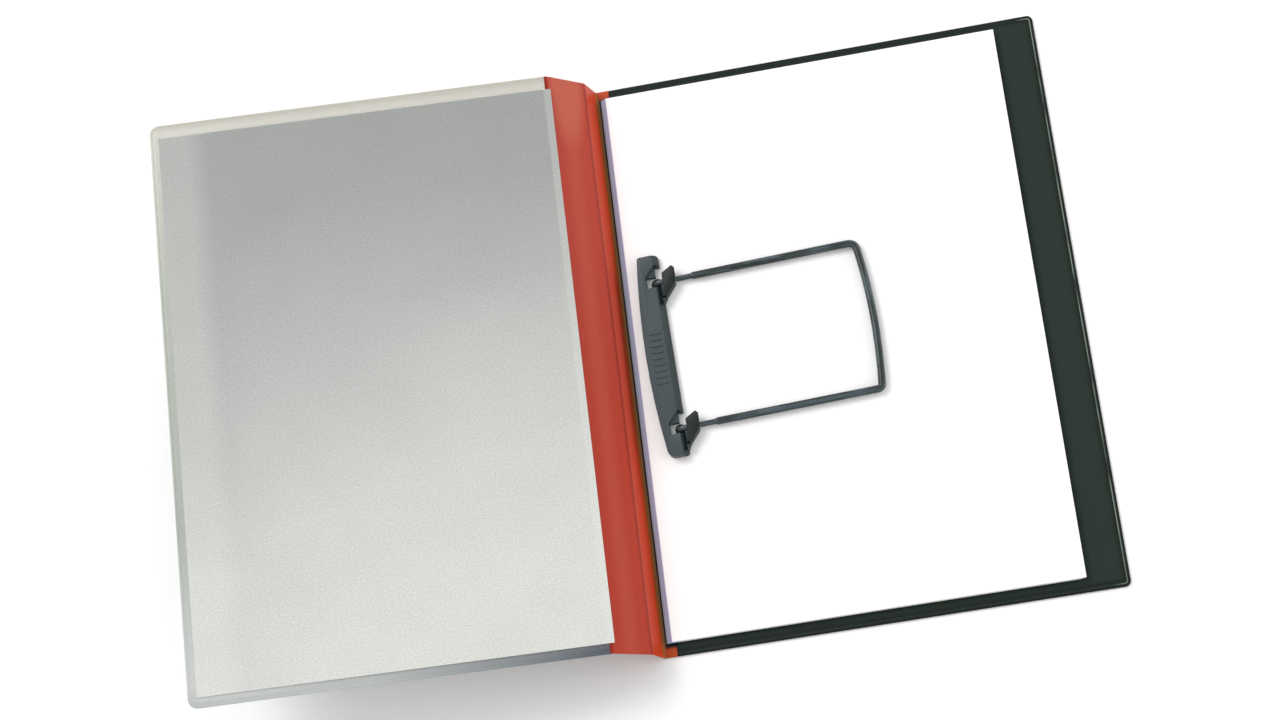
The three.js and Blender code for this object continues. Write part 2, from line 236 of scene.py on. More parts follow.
# %% A finish from the two groups
def place_of(tree, flat):
    """Where the pattern is read: the piece's own flat map where it bends, and its object otherwise."""
    if flat:
        return add(tree, "ShaderNodeUVMap", uv_map="flat").outputs["UV"]
    return add(tree, "ShaderNodeTexCoord").outputs["Object"]


def finish(name, base, rough, grain_scale, grain_depth, cloud_scale=9.0, cloud=0.1, flat=False, paint=None,
           specular=0.5):
    """A Principled material. Its colour is base, or what paint(tree, place) makes, varied by the uneven
    tone, and its normal comes from the grain, as high as grain_depth."""
    material = bpy.data.materials.new(name)
    material.use_nodes = True
    tree = material.node_tree
    shader = tree.nodes["Principled BSDF"]
    shader.inputs["Specular IOR Level"].default_value = specular
    place = place_of(tree, flat)
    look = add(tree, "ShaderNodeGroup", node_tree=tone)
    for label, value in (("Scale", cloud_scale), ("Amount", cloud), ("Roughness", rough)):
        look.inputs[label].default_value = value
    tree.links.new(place, look.inputs["Place"])
    if paint:
        tree.links.new(paint(tree, place), look.inputs["Colour"])
    else:
        look.inputs["Colour"].default_value = colour(*base)
    relief = add(tree, "ShaderNodeGroup", node_tree=grain)
    relief.inputs["Scale"].default_value = grain_scale
    tree.links.new(place, relief.inputs["Place"])
    bump = add(tree, "ShaderNodeBump", {"Height": relief.outputs["Height"], "Distance": grain_depth,
                                        "Strength": 1.0})
    tree.links.new(look.outputs["Colour"], shader.inputs["Base Color"])
    tree.links.new(look.outputs["Roughness"], shader.inputs["Roughness"])
    tree.links.new(bump.outputs["Normal"], shader.inputs["Normal"])
    return material


def ramp(tree, value, stops):
    """Colours by a number: each stop is (position, (red, green, blue))."""
    node = add(tree, "ShaderNodeValToRGB", {"Fac": value})
    points = node.color_ramp.elements
    while len(points) < len(stops):
        points.new(0.5)
    for point, (position, shade) in zip(points, stops):
        point.position = position
        point.color = colour(*shade)
    return node.outputs["Color"]


def spread(tree, value, low, high):
    """A number from 0 at low to 1 at high."""
    node = add(tree, "ShaderNodeMapRange", {"Value": value, "From Min": low, "From Max": high})
    return node.outputs["Result"]


def arithmetic(tree, operation, first, second=0.0, third=0.0):
    """What a Math node makes of its numbers: MULTIPLY_ADD is first * second + third."""
    return add(tree, "ShaderNodeMath", {0: first, 1: second, 2: third}, operation=operation).outputs[0]


def mixed_colour(tree, share, under, over):
    """The colour under, covered by the colour over as far as share says."""
    node = add(tree, "ShaderNodeMixRGB", {"Fac": share, "Color1": under, "Color2": over})
    return node.outputs["Color"]


def soft_noise(tree, place, scale, detail):
    """Soft noise from 0 to 1, about 0.5 on average."""
    return add(tree, "ShaderNodeTexNoise", {"Vector": place, "Scale": scale, "Detail": detail}).outputs["Fac"]

# %% [markdown]
# ## The back cover
# The real back cover is a stiff sheet between two plies of dark grained vinyl, welded together along a
# line a little inside the edge. It could be a slab with a bevel, but the weld is what the eye finds, so
# the top is a height above a plan: rim, pressed line, soft shoulder, flat board.

# %% Finish of the back cover
def board_paint(tree, place):
    """Green-black vinyl, nearly black at the trimmed edge, with a broken pale line where the pressed weld
    of the free edge catches the light."""
    from_edge = add(tree, "ShaderNodeAttribute", attribute_name="from_edge").outputs["Fac"]
    share = spread(tree, from_edge, 0.0, 8 * MM)
    vinyl = ramp(tree, share, [
        (0.0, (14, 17, 15)), (0.12, (20, 27, 22)), (0.2, (31, 43, 36)), (0.26, (30, 41, 34)),
        (0.3, (15, 20, 17)), (0.36, (24, 33, 27)), (0.6, (31, 43, 36)), (1.0, (32, 44, 37))])
    none, full = (0, 0, 0), (255, 255, 255)
    on_line = ramp(tree, share, [(0.0, none), (0.17, none), (0.19, full), (0.23, full), (0.25, none)])
    parts = add(tree, "ShaderNodeSeparateXYZ", {"Vector": place})
    right = spread(tree, parts.outputs["X"], back_high[0] - 9 * MM, back_high[0] - 3 * MM)
    caught = spread(tree, soft_noise(tree, place, 55.0, 1.0), 0.3, 0.55)
    shining = arithmetic(tree, "MULTIPLY", arithmetic(tree, "MULTIPLY", right, caught), on_line)
    return mixed_colour(tree, shining, vinyl, colour(124, 136, 124))


dark_vinyl = finish("dark_vinyl_finish", None, 0.5, 1700.0, 0.00006, cloud_scale=14.0, cloud=0.22,
                    paint=board_paint, specular=0.18)

# %% Plan and height of the back cover
corner_radius = 3 * MM
near_edge = np.array([0, 0.1, 0.25, 0.5, 0.9, 1.4, 1.8, 2.0, 2.2, 2.5, 2.8, 3.1, 3.5, 4.0, 4.8, 6, 8]) * MM
inside = np.linspace(12 * MM, 2 * half_height - 12 * MM, 40)
along_y = np.concatenate([near_edge, inside, 2 * half_height - near_edge[::-1]]) - half_height
fold_side = fold[0] + np.array([0, 0.3, 0.6, 1, 2, 3, 4, 5, 6, 7, 7.3, 7.6, 9]) * MM
middle_x = np.linspace(fold[0] + 16 * MM, back_high[0] - 14 * MM, 30)
along_x = np.concatenate([fold_side, middle_x, back_high[0] - near_edge[::-1]])


def round_corners(x, y, x_far, y_far, radius):
    """Where a point lies within radius of both far sides, the square corner is drawn in to a quarter
    circle: with u and v from 0 to 1 there, the new ones are u sqrt(1 - v v / 2) and v sqrt(1 - u u / 2)."""
    u = np.clip((np.abs(x) - (abs(x_far) - radius)) / radius, 0, 1) * (np.sign(x) == np.sign(x_far))
    v = np.clip((np.abs(y) - (y_far - radius)) / radius, 0, 1)
    new_x = x + np.sign(x) * radius * (u * np.sqrt(1 - v * v / 2) - u)
    new_y = y + np.sign(y) * radius * (v * np.sqrt(1 - u * u / 2) - v)
    return new_x, new_y


def edge_distance(x, y, x_far, y_far, radius):
    """Distance in from the far side, the top and the bottom of a plan with two round corners."""
    dx = abs(x_far) - np.abs(x) * (np.sign(x) == np.sign(x_far))
    dy = y_far - np.abs(y)
    corner = radius - np.hypot(np.clip(radius - dx, 0, None), np.clip(radius - dy, 0, None))
    return np.where((dx < radius) & (dy < radius), corner, np.minimum(dx, dy))


plan_x, plan_y = np.meshgrid(along_x, along_y)
plan_x, plan_y = round_corners(plan_x, plan_y, back_high[0], half_height, corner_radius)
inward = np.clip(edge_distance(plan_x, plan_y, back_high[0], half_height, corner_radius), 0, None)
board_top = back_high[2]
tongue = 0.4 * MM
rounding = 0.45 * MM
edge_fall = rounding * (1 - np.sqrt(1 - (1 - np.clip(inward / rounding, 0, 1)) ** 2))
before_board = 1 - smooth_step(inward, 2.7 * MM, 4.2 * MM)
pressed = 0.32 * MM * smooth_step(inward, 1.5 * MM, 2.1 * MM) * before_board
rim_drop = 0.12 * MM * before_board
rebate = (board_top - tongue) * (1 - smooth_step(plan_x, fold[0] + 7.0 * MM, fold[0] + 7.35 * MM))
slope = 0.05 * MM * np.sin(plan_x / 0.061) * np.sin(plan_y / 0.047)
top_z = np.maximum(board_top - edge_fall - pressed - rim_drop - rebate - np.abs(slope), tongue)
bottom_z = edge_fall * 0.9
upper = np.stack([plan_x, plan_y, top_z], -1).transpose(1, 0, 2)
lower = np.stack([plan_x, plan_y, bottom_z], -1).transpose(1, 0, 2)
back_board = closed_shell("back_cover_board", upper, lower, dark_vinyl)
band_of = back_board.data.attributes.new("from_edge", "FLOAT", "POINT")
band_of.data.foreach_set("value", np.tile(inward.T.ravel(), 2).astype(np.float32))
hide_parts("back_cover")
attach(back_board, "back")

# %% [markdown]
# ## The creased strip
# One strip of soft red vinyl makes the hinge: welded margin, spine, band. It bends on two creases and at
# the ridge where it meets the clear cover. It is a path in the section, with a small round bend at each
# crease, carried along the height. It is cut in the middle of each panel, so that each piece crosses one
# joint.

# %% Path of the strip's section
def rounded_path(corners, radius, step):
    """Straight runs between the corners, with each inner corner replaced by a quadratic curve that
    starts and ends radius away from it, sampled about every step."""
    runs = []
    start = corners[0]
    for before, corner, after in zip(corners[:-2], corners[1:-1], corners[2:]):
        into = corner + (before - corner) / np.linalg.norm(before - corner) * radius
        away = corner + (after - corner) / np.linalg.norm(after - corner) * radius
        count = max(int(np.linalg.norm(into - start) / step), 2)
        runs.append(start + (into - start) * np.linspace(0, 1, count, endpoint=False)[:, None])
        t = np.linspace(0, 1, 9, endpoint=False)[:, None]
        runs.append((1 - t) ** 2 * into + 2 * t * (1 - t) * corner + t * t * away)
        start = away
    count = max(int(np.linalg.norm(corners[-1] - start) / step), 2)
    runs.append(start + (corners[-1] - start) * np.linspace(0, 1, count)[:, None])
    return np.concatenate(runs)


def section_point(point):
    """A point of the frame, seen in the section across the folder."""
    return np.array([point[0], point[2]])


cover_far = np.array([film_low[0], film_high[2]])
cover_way = cover_far - section_point(ridge)
cover_way /= np.linalg.norm(cover_way)
margin_run = 6.9 * MM
bend_round = 1.2 * MM
margin_end = section_point(fold) + np.array([margin_run, 0])
ridge_end = section_point(ridge) + cover_way * 0.3 * MM
strip_path = rounded_path([margin_end, section_point(fold), section_point(crease), section_point(ridge),
                           ridge_end], bend_round, 0.9 * MM)
strip_run = np.concatenate([[0], np.cumsum(np.linalg.norm(np.diff(strip_path, axis=0), axis=1))])
crease_run = margin_run + np.linalg.norm(crease - fold)
ridge_run = crease_run + np.linalg.norm(ridge - crease)
print("cover rises", math.degrees(math.atan2(cover_way[1], -cover_way[0])), "degrees; strip", ridge_run)

# %% Finish of the strip
def strip_paint(tree, place):
    """Red vinyl along the strip: painted shadow, near black, on the welded margin under the sheets' edge but
    orange-red at its two ends, painted shade in brown and orange in the fold, a red painted lighter up the
    spine to stand in for light, a line of painted shade on each crease and at the ridge, and a painted sheen:
    a paler patch on the band near its top."""
    parts = add(tree, "ShaderNodeSeparateXYZ", {"Vector": place})
    share = spread(tree, parts.outputs["X"], 0.0, ridge_run)
    # The spine's red is the band's red painted lighter, to stand in for the light on the spine.
    red, spine_red_painted_lighter, crease_shade = (166, 44, 16), (184, 58, 26), (134, 32, 14)
    at_crease = crease_run / ridge_run
    at_fold = margin_run / ridge_run
    # Painted shadow, near black, on the margin under the sheets' edge, then painted shade in brown and orange
    # in the fold.
    body = ramp(tree, share, [
        (0.0, (14, 13, 12)), (at_fold - 0.032, (14, 13, 12)), (at_fold - 0.026, (122, 88, 50)),
        (at_fold + 0.012, (150, 98, 50)), (at_fold + 0.03, (190, 86, 30)), (at_fold + 0.06, spine_red_painted_lighter),
        # A darker red painted as shade on each crease and at the ridge.
        (at_crease - 0.03, spine_red_painted_lighter), (at_crease, crease_shade), (at_crease + 0.03, red), (0.97, red), (1.0, crease_shade)])
    middle = (crease_run + ridge_run) / 2
    below = spread(tree, parts.outputs["Y"], half_height, half_height - 40 * MM)
    aside = arithmetic(tree, "DIVIDE", arithmetic(tree, "SUBTRACT", parts.outputs["X"], middle), 11 * MM)
    from_patch = add(tree, "ShaderNodeCombineXYZ", {"X": aside, "Y": below})
    far = add(tree, "ShaderNodeVectorMath", {0: from_patch.outputs[0]}, operation="LENGTH").outputs["Value"]
    # A painted sheen: a paler patch on the band near its top.
    painted_sheen = spread(tree, far, 1.15, 0.7)
    with_painted_sheen = mixed_colour(tree, arithmetic(tree, "MULTIPLY", painted_sheen, 0.55), body, colour(186, 94, 68))
    off_middle = arithmetic(tree, "ABSOLUTE", parts.outputs["Y"])
    at_ends = spread(tree, off_middle, half_height - 5.5 * MM, half_height - 4.0 * MM)
    on_margin = spread(tree, parts.outputs["X"], margin_run + 0.5 * MM, margin_run - 1.5 * MM)
    bare = arithmetic(tree, "MULTIPLY", at_ends, on_margin)
    return mixed_colour(tree, bare, with_painted_sheen, colour(180, 70, 30))


red_vinyl = finish("red_vinyl_finish", None, 0.42, 1500.0, 0.00003, cloud_scale=11.0, cloud=0.1, flat=True,
                   paint=strip_paint, specular=0.22)

# %% Skins of the strip
half_strip = 0.3 * MM


def strip_skin(name, first_run, last_run, material):
    """The part of the strip between two places on its path. A point is the path's point, moved along the
    path's normal by half the thickness, and that half thickness rounds off towards both cut ends."""
    inner = (strip_run > first_run) & (strip_run < last_run)
    run = np.concatenate([[first_run], strip_run[inner], [last_run]])
    x = np.interp(run, strip_run, strip_path[:, 0])
    z = np.interp(run, strip_run, strip_path[:, 1])
    way = np.stack([np.gradient(x), np.gradient(z)], -1)
    way /= np.linalg.norm(way, axis=1, keepdims=True)
    normal = np.stack([way[:, 1], -way[:, 0]], -1)
    end = np.array([0, 0.03, 0.08, 0.16, 0.3, 1, 3]) * MM
    y = np.concatenate([end, np.linspace(8 * MM, 2 * half_height - 8 * MM, 60), 2 * half_height - end[::-1]])
    y = y - half_height
    round_off = np.clip((half_height - np.abs(y)) / (0.3 * MM), 0, 1)
    half = half_strip * (0.15 + 0.85 * np.sqrt(1 - (1 - round_off) ** 2))
    free = smooth_step(run, margin_run, margin_run + 8 * MM)
    free = free * (1 - smooth_step(run, ridge_run - 6 * MM, ridge_run))
    wave = 0.12 * MM * np.sin(y / 0.043 + run[:, None] * 90) * free[:, None]

    def side(sign):
        """One face of the skin."""
        away = wave + sign * half
        return np.stack([x[:, None] + normal[:, :1] * away, np.broadcast_to(y, away.shape),
                         z[:, None] + normal[:, 1:] * away], -1)

    flat = np.stack(np.meshgrid(run, y, indexing="ij"), -1)
    return closed_shell(name, side(1)[::-1], side(-1)[::-1], material, flat[::-1])


mid_spine = (margin_run + crease_run) / 2
mid_band = (crease_run + ridge_run) / 2
skins = [
    ("strip_margin_to_spine", 0.0, mid_spine, "back", "spine", margin_run, "spine_strip_margin"),
    ("strip_spine_to_band", mid_spine, mid_band, "spine", "band", crease_run, "spine_strip_back"),
    ("strip_band_to_cover", mid_band, strip_run[-1], "band", "front", ridge_run - bend_round,
     "spine_strip_band"),
]
for name, first_run, last_run, before, after, bend_run, node in skins:
    skin = strip_skin(name, first_run, last_run, red_vinyl)
    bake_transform(skin)
    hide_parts(node)

# %% [markdown]
# ## The clear front cover and its lining
# The front cover is thick clear film, welded near its edge, and it never lies quite flat. A matt lining
# sheet sits inside it. Both are heights above the plane of the cover, and share the same gentle sag, so
# the lining always keeps its distance from the film.

# %% The cover's own plane
ridge_point = section_point(ridge)
cover_normal = np.array([cover_way[1], -cover_way[0]])
cover_width = np.linalg.norm(cover_far - ridge_point)


def sag(s, y):
    """Height of the cover above its plane: nothing at the ridge and a low wave towards the free edge."""
    grown = smooth_step(s, 10 * MM, cover_width)
    return -0.5 * MM * grown * (0.6 + 0.4 * np.cos(y / 0.06)) - 0.35 * MM * np.sin(s / 0.05) ** 2 * grown


def on_cover(s, y, height):
    """A point from its distance s to the ridge, its y, and its height above the cover's plane."""
    lifted = height + sag(s, y)
    x = ridge_point[0] + s * cover_way[0] + lifted * cover_normal[0]
    z = ridge_point[1] + s * cover_way[1] + lifted * cover_normal[1]
    return np.stack([x, y, z], -1)


print("cover normal", cover_normal)

# %% Finish of the film
def film_paint(tree, place):
    """Clear film, greyer in the middle and creamier towards its top, with painted shade along its lowest
    edge:
    darker at the very bottom, and darkest near the ridge, fading out away from it."""
    parts = add(tree, "ShaderNodeSeparateXYZ", {"Vector": place})
    up = spread(tree, parts.outputs["Y"], -half_height, half_height)
    # Painted shade along the lowest edge, darkest near the ridge; the ramp below is darker at its very bottom
    # as well.
    low = spread(tree, parts.outputs["Y"], -half_height + 16 * MM, -half_height + 10 * MM)
    near = spread(tree, parts.outputs["X"], 120 * MM, 4 * MM)
    shaded = arithmetic(tree, "MULTIPLY", low, near)
    body = ramp(tree, up, [(0.0, (180, 184, 184)), (0.04, (198, 201, 199)), (0.3, (166, 173, 164)),
                           (0.7, (172, 177, 166)), (0.97, (196, 195, 184)), (1.0, (188, 184, 172))])
    return mixed_colour(tree, shaded, body, colour(74, 86, 94))


clear_film = finish("clear_film_finish", None, 0.22, 300.0, 0.00002, cloud_scale=16.0, cloud=0.08, flat=True,
                    paint=film_paint, specular=0.5)
film_tree = clear_film.node_tree
film_edge = add(film_tree, "ShaderNodeAttribute", attribute_name="from_edge").outputs["Fac"]
film_share = spread(film_tree, film_edge, 0.0, 4 * MM)
film_alpha = add(film_tree, "ShaderNodeValToRGB", {"Fac": film_share})
for point, (position, level) in zip(film_alpha.color_ramp.elements, ((0.0, 0.9), (1.0, 0.55))):
    point.position = position
    point.color = (level, level, level, 1.0)
film_tree.links.new(film_alpha.outputs["Color"], film_tree.nodes["Principled BSDF"].inputs["Alpha"])

# %% The film
film_corner = 5 * MM
film_near = np.array([0, 0.08, 0.2, 0.5, 0.9, 1.3, 1.7, 2.1, 2.6, 3.2, 4, 5]) * MM
film_s = np.concatenate([[0.35 * MM, 1 * MM, 3 * MM], np.linspace(6 * MM, cover_width - 8 * MM, 48),
                         cover_width - film_near[::-1]])
film_y = np.concatenate([film_near, np.linspace(8 * MM, 2 * half_height - 8 * MM, 60),
                         2 * half_height - film_near[::-1]]) - half_height
plan_s, plan_y = np.meshgrid(film_s, film_y, indexing="ij")
plan_s, plan_y = round_corners(plan_s, plan_y, cover_width, half_height, film_corner)
inward = np.clip(edge_distance(plan_s, plan_y, cover_width, half_height, film_corner), 0, None)
bead = 0.12 * MM * np.exp(-((inward - 1.6 * MM) / (0.35 * MM)) ** 2)
half_film = 0.25 * MM * (0.3 + 0.7 * np.clip(inward / (0.3 * MM), 0, 1))
flat = np.stack([plan_s, plan_y], -1)
film = closed_shell("front_cover_clear_film", on_cover(plan_s, plan_y, half_film - bead)[::-1],
                    on_cover(plan_s, plan_y, -half_film)[::-1], clear_film, flat[::-1])
band_of = film.data.attributes.new("from_edge", "FLOAT", "POINT")
band_of.data.foreach_set("value", np.tile(inward[::-1].ravel(), 2).astype(np.float32))
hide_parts("front_cover_film")
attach(film, "front")

# %% Finish of the lining
def lining_paint(tree, place):
    """Matt grey-white sheet with painted shade: greyer towards the top, whiter towards the bottom; a soft
    lighter strip down its free side, and a thin lighter strip beside the ridge, the sheet's edge with a
    painted highlight."""
    parts = add(tree, "ShaderNodeSeparateXYZ", {"Vector": place})
    drift = soft_noise(tree, place, 7.0, 2.0)
    # Painted shade: greyer towards the top and whiter towards the bottom, slanted across the sheet.
    slant = arithmetic(tree, "MULTIPLY_ADD", drift, 0.09, parts.outputs["Y"])
    up = spread(tree, slant, -half_height + 0.045, half_height + 0.045)
    across = spread(tree, parts.outputs["X"], 0.0, cover_width)
    steep = arithmetic(tree, "MULTIPLY_ADD", across, -0.45, 1.3)
    painted_shade_level = arithmetic(tree, "MULTIPLY_ADD", arithmetic(tree, "SUBTRACT", up, 0.8), steep, 0.8)
    body = ramp(tree, painted_shade_level, [(0.0, (206, 207, 202)), (0.3, (196, 197, 193)), (0.6, (168, 169, 167)),
                             (0.85, (152, 154, 152)), (1.0, (148, 150, 148))])
    side = spread(tree, parts.outputs["X"], cover_width - 30 * MM, cover_width - 19 * MM)
    # Beside the ridge a thin lighter strip: the sheet's edge, partly a painted highlight.
    near = spread(tree, parts.outputs["X"], 2.5 * MM, 1.7 * MM)
    lighter = add(tree, "ShaderNodeMath", {0: side, 1: near}, operation="MAXIMUM", use_clamp=True)
    faintly = arithmetic(tree, "MULTIPLY", lighter.outputs[0], 0.16)
    lit = mixed_colour(tree, faintly, body, colour(226, 228, 222))
    contrast = arithmetic(tree, "MULTIPLY_ADD", soft_noise(tree, place, 1150.0, 1.0), 0.5, 0.75)
    return add(tree, "ShaderNodeVectorMath", {0: lit, "Scale": contrast}, operation="SCALE").outputs[0]


matt_lining = finish("matt_lining_finish", None, 0.62, 1500.0, 0.00008, cloud_scale=26.0, cloud=0.12,
                     flat=True, paint=lining_paint, specular=0.3)

# %% The lining
lining_width = 207.5 * MM
lining_over = 1.6 * MM
lining_end = lining_width - lining_over
lining_top, lining_under = 0.9 * MM, 0.58 * MM
lining_near = np.array([0, 0.1, 0.3, 1, 3]) * MM
lining_s = np.concatenate([-lining_over + lining_near, np.linspace(4 * MM, lining_end - 6 * MM, 50),
                           lining_end - lining_near[::-1]])
lining_y = np.concatenate([lining_low[1] + lining_near,
                           np.linspace(lining_low[1] + 7 * MM, lining_high[1] - 7 * MM, 60),
                           lining_high[1] - lining_near[::-1]])
plan_s, plan_y = np.meshgrid(lining_s, lining_y, indexing="ij")
flat = np.stack([plan_s, plan_y], -1)
lining = closed_shell("front_cover_lining_sheet", on_cover(plan_s, plan_y, lining_top)[::-1],
                      on_cover(plan_s, plan_y, lining_under)[::-1], matt_lining, flat[::-1])
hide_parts("front_cover_lining")
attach(lining, "front")

# %% [markdown]
# ## The sheets
# The solid of the stack keeps its flat white top and its punched holes. Its sides get a ring of about
# thirty sheet edges, each a little out of line with the next, because the edges are what tells a stack of
# paper from a block.

# %% Finishes of the paper
white_paper = finish("white_paper_finish", (252, 252, 252), 0.85, 2600.0, 0.00001, cloud_scale=40.0,
                     cloud=0.012, specular=0.2)


def edge_paint(tree, place):
    """Cut edges of the sheets: painted shade in pale lilac and blue on the side of the spine, where they lean
    back, darkest at the bottom, and a plain pale grey on the other sides."""
    parts = add(tree, "ShaderNodeSeparateXYZ", {"Vector": place})
    share = spread(tree, parts.outputs["Z"], stack_low[2], stack_high[2])
    moved = arithmetic(tree, "MULTIPLY_ADD", soft_noise(tree, place, 6.0, 2.0), 0.12, share)
    # Painted shade on the spine side of the edges, darkest at the bottom.
    painted_shade_edges = ramp(tree, moved, [
        (0.0, (128, 140, 160)), (0.14, (180, 202, 224)), (0.4, (174, 192, 218)),
        (0.6, (184, 198, 222)), (0.85, (158, 168, 206)), (1.0, (200, 208, 230))])
    elsewhere = spread(tree, parts.outputs["X"], stack_low[0] + 5 * MM, stack_low[0] + 9 * MM)
    return mixed_colour(tree, elsewhere, painted_shade_edges, colour(222, 223, 220))


paper_edges = finish("sheet_edges_finish", None, 0.9, 1800.0, 0.00001, cloud_scale=60.0, cloud=0.1,
                     paint=edge_paint, specular=0.2)
frame["nodes"]["sheet_stack"].data.materials.clear()
frame["nodes"]["sheet_stack"].data.materials.append(white_paper)

# %% Ring of sheet edges
sheet_count = 30
side_points = 36
chance = np.random.default_rng(7)
fan = 3.2 * MM
stack_right = stack_high[0] - fan
shift = chance.normal(0, 0.05 * MM, (sheet_count, 2))
level = np.repeat(np.arange(sheet_count), 3)
rise = (level + np.tile([0.04, 0.5, 0.96], sheet_count)) / sheet_count
tuck = np.tile([0.05 * MM, 0.0, 0.05 * MM], sheet_count)
corner_x = [stack_low[0], stack_right, stack_right, stack_low[0]]
corner_y = [stack_low[1], stack_low[1], stack_high[1], stack_high[1]]
ring_x = np.concatenate([np.linspace(corner_x[k], corner_x[(k + 1) % 4], side_points)[:-1] for k in range(4)])
ring_y = np.concatenate([np.linspace(corner_y[k], corner_y[(k + 1) % 4], side_points)[:-1] for k in range(4)])
out_x = np.isclose(ring_x, stack_right).astype(float) - np.isclose(ring_x, stack_low[0])
out_y = np.isclose(ring_y, stack_high[1]).astype(float) - np.isclose(ring_y, stack_low[1])
proud = 0.14 * MM - tuck[:, None]
leaf_x = ring_x[None] + out_x[None] * proud + (fan * rise)[:, None] + shift[level, :1]
leaf_y = ring_y[None] + out_y[None] * proud + shift[level, 1:]
leaf_z = np.broadcast_to((stack_low[2] + (stack_high[2] - stack_low[2]) * rise)[:, None], leaf_x.shape)
outer = np.stack([leaf_x, leaf_y, leaf_z], -1)
leaf_depth = 0.8 * MM
inward_step = leaf_depth * np.stack([out_x, out_y, np.zeros_like(out_x)], -1)
rings = np.concatenate([outer[:1] - inward_step, outer, outer[-1:] - inward_step])
ring_count = rings.shape[1]
index = np.arange(rings.shape[0] * ring_count).reshape(rings.shape[0], ring_count)
ahead = np.roll(index, -1, axis=1)
after = np.roll(np.arange(rings.shape[0]), -1)
edge_faces = np.stack([index, ahead, ahead[after], index[after]], -1).reshape(-1, 4)
leaves = make_piece("sheet_edges", rings, edge_faces, paper_edges, smooth=False)
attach(leaves, "back")

# %% [markdown]
# ## The clip
# The pressing bar is a moulding with many flats, holes and ribs, so its solid is copied, its doubles are
# merged and a small bevel softens its edges. The hoop is a plain tube along a curve, which numpy makes
# rounder than the solid's facets. The two feet, where the real hoop bends as it swings, are short tubes of
# their own.

# %% Finishes of the clip
def bar_paint(tree, place):
    """Grey on the bar's flat top, and painted shade, a darker green-black, on its right bevel and on the
    claws beyond it.
    """
    from_hole = add(tree, "ShaderNodeVectorMath", {0: place, 1: tuple(foot)}, operation="SUBTRACT")
    across = add(tree, "ShaderNodeVectorMath", {0: from_hole.outputs[0], 1: tuple(clip_right)},
                 operation="DOT_PRODUCT").outputs["Value"]
    # Painted shade on the right bevel and the claws, which face away from the lamp.
    share = spread(tree, across, -1.2 * MM, 4.0 * MM)
    return ramp(tree, share, [(0.0, (60, 71, 74)), (0.18, (60, 71, 74)), (0.26, (34, 48, 50)),
                              (0.75, (26, 40, 41)), (1.0, (12, 27, 24))])


bar_plastic = finish("bar_plastic_finish", None, 0.48, 2000.0, 0.00003, cloud_scale=60.0, cloud=0.16,
                     paint=bar_paint, specular=0.32)


def hoop_paint(tree, place):
    """Green-black plastic with long grey painted highlights along the tube."""
    long_way = add(tree, "ShaderNodeMapping", {"Vector": place, "Scale": (45.0, 420.0, 1.0)})
    # Painted highlights: long grey marks along the tube.
    painted_highlight_streaks = soft_noise(tree, long_way.outputs["Vector"], 1.0, 2.0)
    return ramp(tree, painted_highlight_streaks, [(0.0, (14, 26, 27)), (0.46, (20, 33, 34)), (0.6, (62, 76, 80)),
                                (1.0, (84, 96, 102))])


hoop_plastic = finish("hoop_plastic_finish", None, 0.34, 1500.0, 0.00002, cloud_scale=50.0, cloud=0.2,
                      flat=True, paint=hoop_paint, specular=0.5)
# The feet are the hoop's plastic painted lighter, to stand in for the light on their tops.
bend_plastic_painted_lighter = finish("bend_plastic_finish", (74, 86, 88), 0.34, 1500.0, 0.00002, cloud_scale=50.0,
                      cloud=0.25, flat=True)

# %% Softened copies of the solids
def softened_copy(node, name, material, width):
    """A copy of a solid with its doubles merged, its flats joined, and a bevel of that width."""
    piece = bpy.data.objects.new(name, frame["nodes"][node].data.copy())
    bpy.context.scene.collection.objects.link(piece)
    solid = bmesh.new()
    solid.from_mesh(piece.data)
    bmesh.ops.remove_doubles(solid, verts=solid.verts, dist=2e-6)
    bmesh.ops.dissolve_limit(solid, angle_limit=math.radians(0.5), verts=solid.verts,
                             edges=solid.edges)
    solid.to_mesh(piece.data)
    solid.free()
    piece.data.materials.clear()
    piece.data.materials.append(material)
    piece.data.polygons.foreach_set("use_smooth", [True] * len(piece.data.polygons))
    bevel = piece.modifiers.new("softened", "BEVEL")
    bevel.width = width
    bevel.segments = 2
    bevel.limit_method = "ANGLE"
    bevel.angle_limit = math.radians(35)
    bevel.harden_normals = True
    bevel.use_clamp_overlap = True
    print(name, len(piece.data.polygons), "faces before its bevel")
    return piece


bar = softened_copy("clip_bar", "clip_pressing_bar", bar_plastic, 0.3 * MM)
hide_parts("clip_bar")
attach(bar, "back")
base_plastic = finish("base_plastic_finish", (24, 38, 38), 0.45, 1500.0, 0.00002, cloud_scale=50.0, cloud=0.2)
base = softened_copy("clip_base", "clip_base_strip", base_plastic, 0.1 * MM)
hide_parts("clip_base")
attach(base, "back")

# %% The hoop
hole_spacing = 80 * MM
reach = 106.6 * MM
neck_start = 11.3 * MM
neck_end = 19 * MM
tube_radius = 1.95 * MM
neck_radius = 1.45 * MM
bow = 2.1 * MM


def in_clip(across, along, height=0.0):
    """A point from its place in the clip: away from the holes, up along the bar, and above the hinge."""
    return foot + across * clip_right + along * clip_up + np.array([0, 0, height])


def curve(start, middle, end, count):
    """A quadratic curve: (1 - t)^2 start + 2 t (1 - t) middle + t^2 end."""
    t = np.linspace(0, 1, count, endpoint=False)[:, None]
    return (1 - t) ** 2 * start + 2 * t * (1 - t) * middle + t * t * end


def straight(start, end, count):
    """Evenly spaced points of a straight run."""
    return start + (end - start) * np.linspace(0, 1, count, endpoint=False)[:, None]


